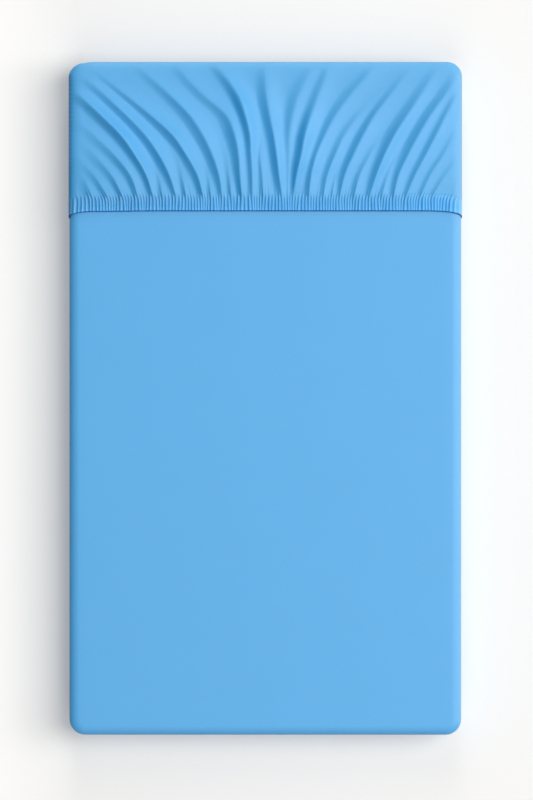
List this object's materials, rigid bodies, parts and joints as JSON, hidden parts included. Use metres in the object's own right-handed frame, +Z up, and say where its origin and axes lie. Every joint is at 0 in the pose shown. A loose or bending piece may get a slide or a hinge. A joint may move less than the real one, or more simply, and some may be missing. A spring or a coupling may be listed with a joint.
{
  "type": "fitted sheet on a cot mattress",
  "caption": "Fitted cloth sheet stretched over a plain cot mattress, with a gathered head pocket whose elastic hem crosses the top.",
  "frame": {"origin": "on the surface the sheet rests on, under the middle of the whole", "axes": "+Y runs along the mattress towards the head end with the gathered pocket, +Z is up from the surface, +X is to the right seen from above"},
  "size_m": [0.7083, 1.2082, 0.0975],
  "materials": {
    "sheet_cloth": "matt woven cotton, plain blue",
    "mattress_cover": "matt plain ticking"
  },
  "bodies": {
    "root": {"mattress": "mattress_cover", "sheet_body": "sheet_cloth", "head_pocket": "sheet_cloth"}
  },
  "joints": []
}
